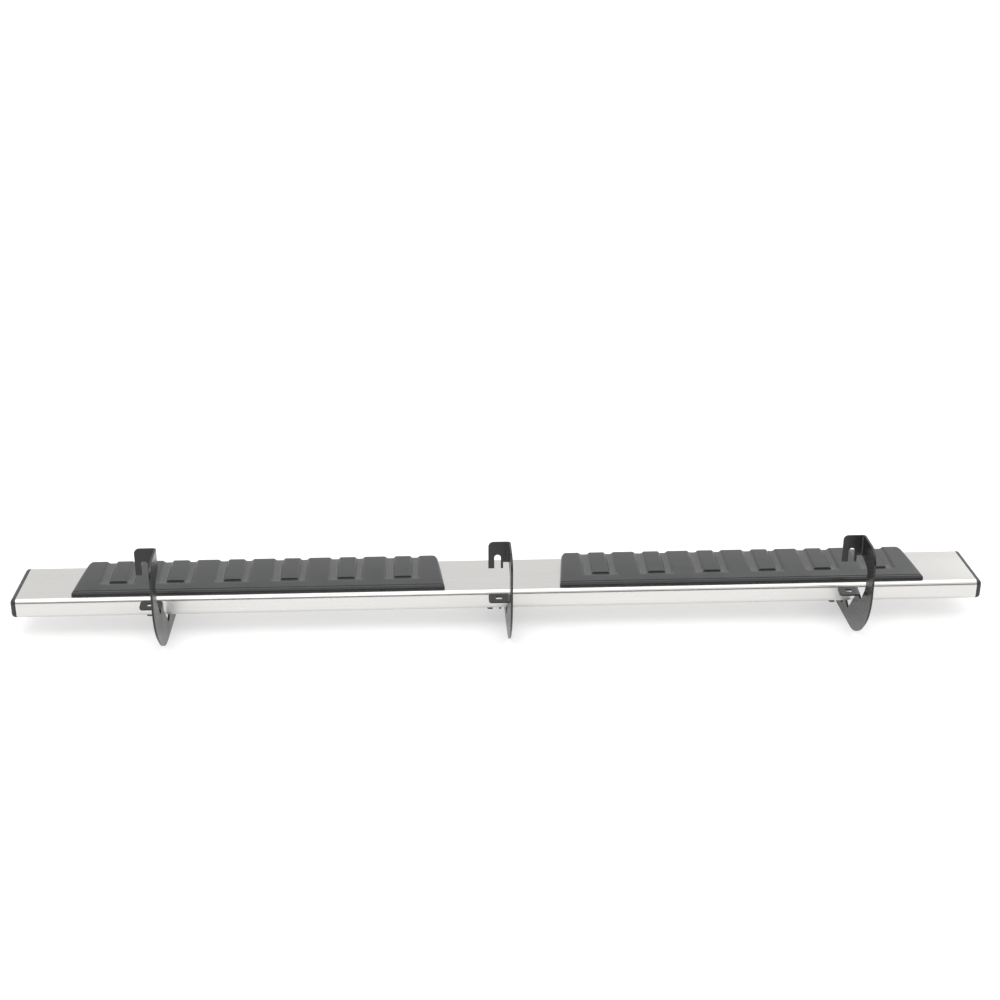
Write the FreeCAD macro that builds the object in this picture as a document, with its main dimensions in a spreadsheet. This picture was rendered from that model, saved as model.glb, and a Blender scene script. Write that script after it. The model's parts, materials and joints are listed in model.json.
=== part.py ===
import FreeCAD, Part
import math
import os
import Sketcher

# Vehicle running board: a stainless side step on three bent plate brackets.
#
# Frame: X runs along the board with 0 at its middle, -Y is the outer side and +Y the vehicle side,
# Z = 0 is the plane that the bottom edges of the brackets stand on. Every sub-part is drawn with
# Y = 0 on the outer face of the board and is then moved so that the whole depth is centred on Y = 0.

SIZES = {
    # Board shell: one closed, roll-formed stainless section.
    "board_length": 1905,
    "board_width": 152.4,
    "board_height": 40,
    "board_corner": 10,
    "shell_wall": 1.5,
    "fit_gap": 0.2,
    # Two lengthwise channels for the T-bolts, and the rails welded inside the shell over them.
    "channel_outer": 48,
    "channel_inner": 104,
    "channel_mouth": 9,
    "channel_end": 60,
    "rail_width": 24,
    "rail_height": 12,
    "rail_wall": 2,
    "rail_end": 40,
    # Moulded end caps.
    "cap_flange": 11,
    "cap_skirt": 25,
    "cap_wall": 3,
    "cap_edge": 8,
    # Moulded step pads.
    "pad_start": 114,
    "pad_length": 732,
    "pad_edge_y": 140,
    "pad_lip": 9.5,
    "pad_crown": 15.5,
    "pad_crown_y": 16,
    "pad_wrap": 5.5,
    "pad_taper": 14,
    "pad_plan_corner": 26,
    "pad_rear_corner": 5,
    "groove_depth": 5,
    "groove_first": 22.5,
    "groove_land": 27.5,
    "groove_second": 24.5,
    "groove_pitch": 112.5,
    "groove_count": 6,
    "moat_end": 107,
    "moat_width": 7,
    "groove_face": 3.5,
    "cavity_from": 12,
    "cavity_to": 134,
    "cavity_rib": 3,
    "cavity_low": 2,
    "cavity_high": 5,
    # Moulded posts that hold the pads, and their push-on retainers under the shell's top.
    "post_radius": 3,
    "post_drop": 9,
    "post_pitch": 187.5,
    "post_count": 4,
    "post_row_outer": 40,
    "post_row_inner": 112,
    "post_hole": 3.3,
    "retainer_radius": 8,
    "retainer_collar": 4.5,
    "retainer_disc": 1,
    "retainer_depth": 3,
    # Brackets: 4 mm steel plate, all three flanges bent to the same side.
    "plate": 4,
    "bend_inner": 3,
    "bracket_drop": 45,
    "bracket_reach": 291,
    "bracket_left_x": -700,
    "bracket_middle_x": -12,
    "bracket_right_x": 660,
    "seat_start": 22,
    "seat_end": 122,
    "seat_tip": 144,
    "flange_width": 43,
    "finger_from": 14.5,
    "slot_from": 19,
    "slot_to": 31.5,
    "seat_slot_start": 38,
    "hook_face": 205,
    "hook_top": 216,
    "hook_heel": 174,
    "hook_tip": 161,
    "hook_slot_top": 189.5,
    "tab_from": 190,
    "tab_height": 98,
    "tab_depth": 26.5,
    "tab_width": 42,
    "tab_tilt": 10.9,
    "tab_hole_centre": 22,
    "tab_hole_long": 12,
    "tab_hole_wide": 9,
    # Outline of the bracket plate: how far each corner stands from the edge that it is set out from,
    # and its radius.
    "toe_run": 24,
    "toe_corner": 10,
    "heel_run": 79,
    "heel_corner": 112,
    "arm_top_corner": 31,
    "throat_run": 37,
    "throat_drop": 11,
    "throat_corner": 14,
    "waist_run": 42,
    "waist_drop": 54,
    "waist_corner": 40,
    "relief_run": 64,
    "relief_drop": 11,
    "relief_corner": 4,
    "under_tab_run": 4,
    "under_tab_drop": 23,
    "notch_run": 16,
    "notch_drop": 18,
    "bend_margin": 1,
    "seat_corner": 6,
    "hook_corner": 10,
    "tab_corner": 6,
    "tab_hole_corner": 2,
    "slot_flat": 0.5,
    "overcut": 1,
    # M8 fasteners: T-bolt, wide washer and flange nut.
    "bolt_radius": 4,
    "bolt_head_long": 18,
    "bolt_head_wide": 8.4,
    "bolt_head_thick": 4,
    "bolt_length": 20.5,
    "washer_radius": 12,
    "washer_thick": 2,
    "nut_flats": 13,
    "nut_height": 8,
    "nut_flange_radius": 8.9,
    "nut_flange_thick": 1.5,
}

doc = FreeCAD.newDocument("RunningBoard")
sheet = doc.addObject("Spreadsheet::Sheet", "Sizes")
for row, (alias, size) in enumerate(SIZES.items(), start=1):
    sheet.set("A%d" % row, alias.replace("_", " "))
    sheet.set("B%d" % row, str(size))
    sheet.setAlias("B%d" % row, alias)
doc.recompute()

# Levels and places that several sub-parts share, as expressions of the sheet.
UNDERSIDE = "Sizes.bracket_drop"
TOP = "(Sizes.bracket_drop + Sizes.board_height)"
HALF_LENGTH = "Sizes.board_length / 2"
CENTRED_Y = "-Sizes.bracket_reach / 2"
CHANNELS = ("Sizes.channel_outer", "Sizes.channel_inner")
POST_ROWS = ("Sizes.post_row_outer", "Sizes.post_row_inner")
SIDES = {"left": -1, "right": 1}
STATIONS = ("left", "middle", "right")

# How an edge is told apart when it is picked for rounding: its least length, the sine of its slant
# and its distance from where it should be.
SHORTEST_EDGE = 1.0
SLANT_TOLERANCE = 1e-3
PLACE_TOLERANCE = 0.05

sub_parts = []


def number(owner, expression):
    """The value that an expression of the sheet has now."""
    return float(owner.evalExpression(expression))


def place(thing, along="0", across=CENTRED_Y, up="0"):
    """Bind a thing's position to the sheet."""
    for axis, expression in zip("xyz", (along, across, up)):
        thing.setExpression(".Placement.Base." + axis, expression)


def sub_part(thing, node):
    """Name a finished sub-part, so that it is checked and written at the end."""
    thing.Label = node
    sub_parts.append(thing)


def new_body(name):
    body = doc.addObject("PartDesign::Body", name)
    body.AllowCompound = True
    return body


def new_sketch(body, name, plane, offset="0"):
    """A sketch on one of the body's own origin planes, lifted along the plane's normal."""
    sketch = body.newObject("Sketcher::SketchObject", name)
    support = [feature for feature in body.Origin.OriginFeatures if feature.Role == plane][0]
    sketch.AttachmentSupport = [(support, "")]
    sketch.MapMode = "FlatFace"
    sketch.setExpression(".AttachmentOffset.Base.z", offset)
    doc.recompute()
    return sketch


def pin(sketch, side, end, across, up):
    """Hold one end of a sketch side at a place that the sheet gives."""
    for kind, expression in (("DistanceX", across), ("DistanceY", up)):
        value = number(sketch, expression)
        index = sketch.addConstraint(Sketcher.Constraint(kind, -1, 1, side, end, value))
        sketch.setExpression("Constraints[%d]" % index, expression)


def arc_between(start, end, radius):
    """Counter-clockwise arc of at most half a turn. A negative radius runs it from end to start."""
    if radius < 0:
        return arc_between(end, start, -radius)
    chord = end - start
    to_centre = FreeCAD.Vector(-chord.y, chord.x, 0).normalize()
    height = math.sqrt(max(radius ** 2 - (chord.Length / 2) ** 2, 0))
    centre = start + chord * 0.5 + to_centre * height
    first = math.atan2(start.y - centre.y, start.x - centre.x)
    last = math.atan2(end.y - centre.y, end.x - centre.x)
    circle = Part.Circle(centre, FreeCAD.Vector(0, 0, 1), radius)
    return Part.ArcOfCircle(circle, first, last)


def add_outline(sketch, corners):
    """Closed outline. A corner is (u, v) or (u, v, radius, sense): the side that leaves it is then an arc,
    which bulges to the right of the way of travel for sense 1 and to the left for sense -1."""
    points = [FreeCAD.Vector(number(sketch, c[0]), number(sketch, c[1]), 0) for c in corners]
    starts = []
    for index, corner in enumerate(corners):
        start = points[index]
        end = points[(index + 1) % len(points)]
        if len(corner) == 2:
            side = sketch.addGeometry(Part.LineSegment(start, end), False)
            starts.append((side, 1))
            continue
        radius, sense = corner[2:]
        side = sketch.addGeometry(arc_between(start, end, sense * number(sketch, radius)), False)
        starts.append((side, 1 if sense > 0 else 2))
        index_of_radius = sketch.addConstraint(Sketcher.Constraint("Radius", side, number(sketch, radius)))
        sketch.setExpression("Constraints[%d]" % index_of_radius, radius)
    for index, (side, end) in enumerate(starts):
        before, before_start = starts[index - 1]
        sketch.addConstraint(Sketcher.Constraint("Coincident", before, 3 - before_start, side, end))
        pin(sketch, side, end, corners[index][0], corners[index][1])


def add_circle(sketch, across, up, radius):
    centre = FreeCAD.Vector(number(sketch, across), number(sketch, up), 0)
    circle = Part.Circle(centre, FreeCAD.Vector(0, 0, 1), number(sketch, radius))
    side = sketch.addGeometry(circle, False)
    pin(sketch, side, 3, across, up)
    index = sketch.addConstraint(Sketcher.Constraint("Radius", side, number(sketch, radius)))
    sketch.setExpression("Constraints[%d]" % index, radius)


def rectangle(left, low, right, high):
    return [(left, low), (right, low), (right, high), (left, high)]


def extrude(body, kind, name, sketch, length="1", both_ways=False, backwards=False, through=False):
    """Pad or Pocket of a sketch, checked to have changed the body's volume."""
    before = body.Shape.Volume if body.Tip else 0
    feature = body.newObject("PartDesign::" + kind, name)
    feature.Profile = sketch
    feature.setExpression("Length", length)
    if through:
        feature.Type = "ThroughAll"
    if both_ways:
        feature.SideType = "Symmetric"
    feature.Reversed = backwards
    doc.recompute()
    change = body.Shape.Volume - before
    if (kind == "Pad") != (change > 0) or abs(change) < 1:
        raise RuntimeError("%s left the volume of %s as it was" % (name, body.Name))
    return feature


def repeat(body, name, feature, sketch, axis, spacing, count):
    """The feature again and again along one of its sketch's axes."""
    pattern = body.newObject("PartDesign::LinearPattern", name)
    pattern.Originals = [feature]
    pattern.Direction = (sketch, [axis])
    pattern.Mode = "Spacing"
    pattern.setExpression("Offset", spacing)
    pattern.setExpression("Occurrences", count)
    body.Tip = pattern
    doc.recompute()


def round_edges(body, name, radius, wanted):
    """Fillet the edges of the body's last feature for which wanted(edge) is true."""
    feature = body.Tip
    names = ["Edge%d" % (i + 1) for i, edge in enumerate(feature.Shape.Edges) if wanted(edge)]
    if not names:
        raise RuntimeError("no edge to round for " + name)
    fillet = body.newObject("PartDesign::Fillet", name)
    fillet.Base = (feature, names)
    fillet.setExpression("Radius", radius)
    doc.recompute()
    if fillet.Shape.isNull() or not fillet.Shape.isValid():
        raise RuntimeError("%s could not round its edges" % name)
    return fillet


def straight_through(spots, direction):
    """Test for a straight edge that runs along the direction and passes through one of the spots."""
    def wanted(edge):
        if edge.Curve.TypeId != "Part::GeomLine" or edge.Length < SHORTEST_EDGE:
            return False
        along = edge.Vertexes[1].Point - edge.Vertexes[0].Point
        if along.cross(direction).Length > SLANT_TOLERANCE * along.Length:
            return False
        middle = (edge.Vertexes[0].Point + edge.Vertexes[1].Point) * 0.5
        return any((middle - spot).cross(direction).Length < PLACE_TOLERANCE for spot in spots)
    return wanted


def round_corners(body, name, sketch, rounds):
    """Round upright corners of the last extrusion; rounds maps a radius to its sketch corners."""
    upright = sketch.Placement.Rotation.multVec(FreeCAD.Vector(0, 0, 1))
    for index, (radius, corners) in enumerate(rounds.items()):
        spots = []
        for corner in corners:
            flat = FreeCAD.Vector(number(sketch, corner[0]), number(sketch, corner[1]), 0)
            spots.append(sketch.Placement.multVec(flat))
        round_edges(body, "%s%d" % (name, index), radius, straight_through(spots, upright))


def primitive(kind, name, sizes, position):
    """A Part primitive whose sizes and position are bound to the sheet."""
    thing = doc.addObject(kind, name)
    for size, expression in sizes.items():
        thing.setExpression(size, expression)
    place(thing, *position)
    return thing


def combine(kind, name, first, second):
    thing = doc.addObject(kind, name)
    thing.Base = first
    thing.Tool = second
    return thing


def group(name, pieces):
    """Identical pieces as one sub-part of separate solids."""
    thing = doc.addObject("Part::Compound", name)
    thing.Links = pieces
    return thing


# ---------------------------------------------------------------- board

def post_positions(side):
    """Where the four posts of a row stand along X, for the pad on one side."""
    middle = "%d * (Sizes.pad_start + Sizes.pad_length / 2)" % side
    step = "%s + (%d - (Sizes.post_count - 1) / 2) * Sizes.post_pitch"
    return [step % (middle, index) for index in range(SIZES["post_count"])]


def board_shell():
    body = new_body("BoardShell")
    section = new_sketch(body, "ShellSection", "YZ_Plane")
    outside = rectangle("0", UNDERSIDE, "Sizes.board_width", TOP)
    inside = rectangle("Sizes.shell_wall", UNDERSIDE + " + Sizes.shell_wall",
                       "Sizes.board_width - Sizes.shell_wall", TOP + " - Sizes.shell_wall")
    add_outline(section, outside)
    add_outline(section, inside)
    extrude(body, "Pad", "ShellPad", section, "Sizes.board_length", both_ways=True)
    round_corners(body, "ShellCorner", section, {
        "Sizes.board_corner - Sizes.shell_wall": inside,
        "Sizes.board_corner": outside,
    })

    channels = new_sketch(body, "ChannelSlots", "XY_Plane", UNDERSIDE + " - Sizes.overcut")
    reach = "(%s - Sizes.channel_end)" % HALF_LENGTH
    for channel in CHANNELS:
        low = channel + " - Sizes.channel_mouth / 2"
        high = channel + " + Sizes.channel_mouth / 2"
        add_outline(channels, rectangle("-" + reach, low, reach, high))
    extrude(body, "Pocket", "ChannelPocket", channels, "Sizes.shell_wall + 2 * Sizes.overcut", backwards=True)

    holes = new_sketch(body, "PostHoles", "XY_Plane", TOP + " + Sizes.overcut")
    for side in SIDES.values():
        for across in POST_ROWS:
            for along in post_positions(side):
                add_circle(holes, along, across, "Sizes.post_hole")
    extrude(body, "Pocket", "PostHolePocket", holes, "Sizes.shell_wall + 2 * Sizes.overcut")
    place(body)
    sub_part(body, "board_shell")


def channel_rail(name, channel):
    """C-section rail, open downwards over its channel, which holds the T-bolt heads."""
    body = new_body("Rail" + name.title())
    section = new_sketch(body, "Section" + name.title(), "YZ_Plane")
    low = UNDERSIDE + " + Sizes.shell_wall"
    lip = low + " + Sizes.rail_wall"
    high = low + " + Sizes.rail_height"
    half = "Sizes.rail_width / 2"
    inner = "(%s - Sizes.rail_wall)" % half
    mouth = "Sizes.channel_mouth / 2"
    add_outline(section, [
        (channel + " + " + mouth, low),
        (channel + " + " + half, low),
        (channel + " + " + half, high),
        (channel + " - " + half, high),
        (channel + " - " + half, low),
        (channel + " - " + mouth, low),
        (channel + " - " + mouth, lip),
        (channel + " - " + inner, lip),
        (channel + " - " + inner, high + " - Sizes.rail_wall"),
        (channel + " + " + inner, high + " - Sizes.rail_wall"),
        (channel + " + " + inner, lip),
        (channel + " + " + mouth, lip),
    ])
    extrude(body, "Pad", "RailPad" + name.title(), section,
            "Sizes.board_length - 2 * Sizes.rail_end", both_ways=True)
    place(body)
    sub_part(body, "channel_rail_" + name)


def end_cap(name, side):
    """Moulded cap: a domed flange that covers the end of the shell, with a skirt pressed inside it."""
    body = new_body("Cap" + name.title())
    end = "%d * %s" % (side, HALF_LENGTH)
    inward = side > 0

    gap = "(Sizes.shell_wall + Sizes.fit_gap)"
    skirt = new_sketch(body, "CapSkirt" + name, "YZ_Plane", end)
    outside = rectangle(gap, UNDERSIDE + " + " + gap, "Sizes.board_width - " + gap, TOP + " - " + gap)
    add_outline(skirt, outside)
    extrude(body, "Pad", "CapSkirtPad" + name, skirt, "Sizes.cap_skirt", backwards=inward)
    round_corners(body, "SkirtCorner" + name, skirt, {"Sizes.board_corner - " + gap: outside})

    flange = new_sketch(body, "CapFlange" + name, "YZ_Plane", end)
    cover = rectangle("0", UNDERSIDE, "Sizes.board_width", TOP)
    add_outline(flange, cover)
    extrude(body, "Pad", "CapFlangePad" + name, flange, "Sizes.cap_flange", backwards=not inward)
    round_corners(body, "CapCorner" + name, flange, {"Sizes.board_corner": cover})
    outer_face = number(body, end) + side * number(body, "Sizes.cap_flange")
    round_edges(body, "CapDome" + name, "Sizes.cap_edge",
                lambda edge: all(abs(v.X - outer_face) < PLACE_TOLERANCE for v in edge.Vertexes))

    wall = "(Sizes.shell_wall + Sizes.fit_gap + Sizes.cap_wall)"
    hollow = new_sketch(body, "CapHollow" + name, "YZ_Plane", "%s - %d * Sizes.cap_skirt" % (end, side))
    inside = rectangle(wall, UNDERSIDE + " + " + wall, "Sizes.board_width - " + wall, TOP + " - " + wall)
    add_outline(hollow, inside)
    extrude(body, "Pocket", "CapHollowPocket" + name, hollow,
            "Sizes.cap_skirt + Sizes.cap_flange - Sizes.cap_wall", backwards=inward)
    place(body)
    sub_part(body, "end_cap_" + name)


# ---------------------------------------------------------------- step pads

def step_pad(name, side):
    """Crowned pad that wraps over the board's outer edge, with groove pockets cut in its raised skin."""
    near = "Sizes.pad_start"
    far = "(Sizes.pad_start + Sizes.pad_length)"
    middle = "%d * (Sizes.pad_start + Sizes.pad_length / 2)" % side
    floor_crown = "(Sizes.pad_crown - Sizes.groove_depth)"
    floor_lip = "(Sizes.pad_lip - Sizes.groove_depth)"
    run = "(Sizes.pad_edge_y - Sizes.pad_crown_y)"
    rise = "(Sizes.pad_crown - Sizes.pad_lip)"
    long_arc = "(%s^2 + %s^2) / (2 * %s)" % (run, rise, rise)
    nose_arc = "(Sizes.pad_crown_y^2 + Sizes.pad_crown^2) / (2 * Sizes.pad_crown)"
    wrap_rise = "(Sizes.board_corner - Sizes.pad_wrap)"
    wrap_y = "Sizes.board_corner - sqrt(Sizes.board_corner^2 - %s^2) - Sizes.fit_gap" % wrap_rise
    floor_nose_y = "(Sizes.pad_crown_y - %s)" % floor_crown

    # Lower part: everything under the groove floors, hollow between cross ribs.
    lower = new_body("PadLower" + name.title())
    section = new_sketch(lower, "LowerSection" + name, "YZ_Plane", middle)
    add_outline(section, [
        ("Sizes.board_corner", TOP),
        ("Sizes.pad_edge_y", TOP),
        ("Sizes.pad_edge_y", TOP + " + " + floor_lip, long_arc, 1),
        ("Sizes.pad_crown_y", TOP + " + " + floor_crown, floor_crown, 1),
        (floor_nose_y, TOP),
        ("0", TOP + " - Sizes.groove_face"),
        ("0", TOP + " - Sizes.pad_wrap"),
        (wrap_y, TOP + " - Sizes.pad_wrap", "Sizes.board_corner + 2 * Sizes.fit_gap", -1),
    ])
    extrude(lower, "Pad", "LowerPad" + name, section, "Sizes.pad_length", both_ways=True)
    cell = "(Sizes.groove_pitch - Sizes.cavity_rib)"
    first_cell = "%s - (Sizes.groove_count - 1) * Sizes.groove_pitch / 2" % middle
    cavity = new_sketch(lower, "Cavity" + name, "YZ_Plane", first_cell)
    add_outline(cavity, [
        ("Sizes.cavity_from", TOP + " - Sizes.overcut"),
        ("Sizes.cavity_to", TOP + " - Sizes.overcut"),
        ("Sizes.cavity_to", TOP + " + Sizes.cavity_low"),
        ("Sizes.cavity_from", TOP + " + Sizes.cavity_high"),
    ])
    cell_pocket = extrude(lower, "Pocket", "CavityPocket" + name, cavity, cell, both_ways=True)
    repeat(lower, "CavityCells" + name, cell_pocket, cavity, "N_Axis",
           "Sizes.groove_pitch", "Sizes.groove_count")
    posts = new_sketch(lower, "Posts" + name, "XY_Plane", TOP + " - Sizes.post_drop")
    for across in POST_ROWS:
        for along in post_positions(side):
            add_circle(posts, along, across, "Sizes.post_radius")
    extrude(lower, "Pad", "PostPad" + name, posts, "Sizes.post_drop + Sizes.cavity_high")
    place(lower)

    # Upper skin: the raised lands, cut by six U-shaped groove pockets.
    skin = new_body("PadSkin" + name.title())
    raised = new_sketch(skin, "SkinSection" + name, "YZ_Plane", middle)
    add_outline(raised, [
        ("Sizes.pad_edge_y", TOP + " + " + floor_lip),
        ("Sizes.pad_edge_y", TOP + " + Sizes.pad_lip", long_arc, 1),
        ("Sizes.pad_crown_y", TOP + " + Sizes.pad_crown", nose_arc, 1),
        ("0", TOP),
        ("0", TOP + " - Sizes.groove_face"),
        (floor_nose_y, TOP, floor_crown, -1),
        ("Sizes.pad_crown_y", TOP + " + " + floor_crown, long_arc, -1),
    ])
    extrude(skin, "Pad", "SkinPad" + name, raised, "Sizes.pad_length", both_ways=True)
    pocket_width = "(Sizes.groove_first + Sizes.groove_land + Sizes.groove_second)"
    pockets_span = "((Sizes.groove_count - 1) * Sizes.groove_pitch + %s)" % pocket_width
    start = "(%s - %s / 2)" % (middle, pockets_span)
    land_start = start + " + Sizes.groove_first"
    land_end = land_start + " + Sizes.groove_land"
    end = "(%s + %s)" % (start, pocket_width)
    moat_start = "(Sizes.moat_end - Sizes.moat_width)"
    grooves = new_sketch(skin, "Grooves" + name, "XY_Plane", TOP)
    add_outline(grooves, [
        (start, "-Sizes.overcut"),
        (land_start, "-Sizes.overcut"),
        (land_start, moat_start),
        (land_end, moat_start),
        (land_end, "-Sizes.overcut"),
        (end, "-Sizes.overcut"),
        (end, "Sizes.moat_end"),
        (start, "Sizes.moat_end"),
    ])
    groove = extrude(skin, "Pocket", "GroovePocket" + name, grooves, both_ways=True, through=True)
    repeat(skin, "GroovePattern" + name, groove, grooves, "H_Axis",
           "Sizes.groove_pitch", "Sizes.groove_count")
    place(skin)

    # Plan shape: the ends draw in towards the outer side, with round outer corners.
    plan = new_body("PadPlan" + name.title())
    outline = new_sketch(plan, "PlanOutline" + name, "XY_Plane", UNDERSIDE)
    signed = "%d * " % side
    outer_near = (signed + "(%s + Sizes.pad_taper)" % near, "0")
    outer_far = (signed + "(%s - Sizes.pad_taper)" % far, "0")
    corners = [outer_near, outer_far, (signed + far, "Sizes.pad_edge_y"), (signed + near, "Sizes.pad_edge_y")]
    add_outline(outline, corners)
    extrude(plan, "Pad", "PlanPad" + name, outline, "2 * Sizes.board_height")
    round_corners(plan, "PlanCorner" + name, outline, {
        "Sizes.pad_plan_corner": [outer_near, outer_far],
        "Sizes.pad_rear_corner": corners[2:],
    })
    place(plan)

    whole = combine("Part::Fuse", "PadWhole" + name, lower, skin)
    whole.Refine = True
    pad = combine("Part::Common", "Pad" + name.title(), whole, plan)
    sub_part(pad, "step_pad_" + name)


def pad_retainers(name, side):
    """Push-on retainers that grip the pad's posts under the shell's top wall."""
    pieces = []
    for row, across in enumerate(POST_ROWS):
        for column, along in enumerate(post_positions(side)):
            tag = "%s%d%d" % (name, row, column)
            centre = (along, CENTRED_Y + " + " + across)
            ceiling = TOP + " - Sizes.shell_wall"
            disc = primitive("Part::Cylinder", "RetainerDisc" + tag,
                             {"Radius": "Sizes.retainer_radius", "Height": "Sizes.retainer_disc"},
                             centre + (ceiling + " - Sizes.retainer_disc",))
            collar = primitive("Part::Cylinder", "RetainerCollar" + tag,
                               {"Radius": "Sizes.retainer_collar", "Height": "Sizes.retainer_depth"},
                               centre + (ceiling + " - Sizes.retainer_depth",))
            bore = primitive("Part::Cylinder", "RetainerBore" + tag,
                             {"Radius": "Sizes.post_radius",
                              "Height": "Sizes.retainer_depth + 2 * Sizes.overcut"},
                             centre + (ceiling + " - Sizes.retainer_depth - Sizes.overcut",))
            ring = combine("Part::Fuse", "RetainerRing" + tag, disc, collar)
            pieces.append(combine("Part::Cut", "Retainer" + tag, ring, bore))
    sub_part(group("Retainers" + name.title(), pieces), "pad_retainers_" + name)


# ---------------------------------------------------------------- brackets

def bracket_outline():
    """The flat plate, seen along X: a foot under the board, and an arm that rises to the hook."""
    back = "Sizes.bracket_reach"
    seat = UNDERSIDE
    tilt = "Sizes.tab_tilt * pi / 180"
    slope_y = "cos(%s * 1 rad)" % tilt
    slope_z = "sin(%s * 1 rad)" % tilt
    bend = "(Sizes.plate + Sizes.bend_inner + Sizes.bend_margin)"
    tab_end_y = "Sizes.tab_from + Sizes.tab_depth * " + slope_y
    tab_end_z = "Sizes.tab_height - Sizes.tab_depth * " + slope_z
    foot_toe = ("Sizes.seat_start + Sizes.toe_run", "0")
    foot_heel = (back + " - Sizes.heel_run", "0")
    arm_foot = (back, "Sizes.heel_run")
    arm_top = (back, "Sizes.hook_top")
    throat = (back + " - Sizes.throat_run", "Sizes.hook_heel - Sizes.throat_drop")
    arm_waist = (back + " - Sizes.waist_run", "Sizes.hook_heel - Sizes.waist_drop")
    relief = (back + " - Sizes.relief_run", "Sizes.tab_height - Sizes.relief_drop")
    under_tab = ("Sizes.tab_from - Sizes.under_tab_run", "Sizes.tab_height - Sizes.under_tab_drop")
    notch = ("Sizes.seat_tip", seat + " - Sizes.notch_drop")
    corners = [
        ("Sizes.seat_start", seat),
        ("Sizes.seat_start", seat + " - " + bend),
        foot_toe,
        foot_heel,
        arm_foot,
        arm_top,
        ("Sizes.hook_face", "Sizes.hook_top"),
        ("Sizes.hook_face", "Sizes.hook_heel"),
        ("Sizes.hook_face + " + bend, "Sizes.hook_heel"),
        throat,
        arm_waist,
        relief,
        ("%s - %s * %s" % (tab_end_y, bend, slope_z), "%s - %s * %s" % (tab_end_z, bend, slope_y)),
        (tab_end_y, tab_end_z),
        ("Sizes.tab_from", "Sizes.tab_height"),
        ("Sizes.tab_from - %s * %s" % (bend, slope_z), "Sizes.tab_height - %s * %s" % (bend, slope_y)),
        under_tab,
        ("Sizes.seat_tip + Sizes.notch_run", seat),
        notch,
        ("Sizes.seat_end", seat + " - " + bend),
        ("Sizes.seat_end", seat),
    ]
    rounds = {
        "Sizes.heel_corner": [foot_heel, arm_foot],
        "Sizes.arm_top_corner": [arm_top],
        "Sizes.throat_corner": [throat],
        "Sizes.waist_corner": [arm_waist],
        "Sizes.toe_corner": [foot_toe, under_tab],
        "Sizes.relief_corner": [notch, relief],
    }
    return corners, rounds


def slotted_flange(reach_from, reach_root, reach_tip, slot_end):
    """Flange outline in (X, reach): a root strip, a thin finger, an open slot and a leg."""
    return [
        ("0", reach_from),
        ("Sizes.flange_width", reach_from),
        ("Sizes.flange_width", reach_tip),
        ("Sizes.slot_to", reach_tip),
        ("Sizes.slot_to", slot_end),
        ("Sizes.slot_from", slot_end),
        ("Sizes.slot_from", reach_tip),
        ("Sizes.finger_from", reach_tip),
        ("Sizes.finger_from", reach_root),
        ("0", reach_root),
    ]


def bend(body, name, flange):
    """Round the outside and the inside of the bend where a flange leaves the plate."""
    along = flange.Placement.Rotation.multVec(FreeCAD.Vector(0, 1, 0))
    thickness = number(flange, "Sizes.plate")
    outside = flange.Placement.Base
    inside = flange.Placement.multVec(FreeCAD.Vector(thickness, 0, -thickness))
    round_edges(body, name + "Inside", "Sizes.bend_inner", straight_through([inside], along))
    round_edges(body, name + "Outside", "Sizes.bend_inner + Sizes.plate", straight_through([outside], along))


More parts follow.
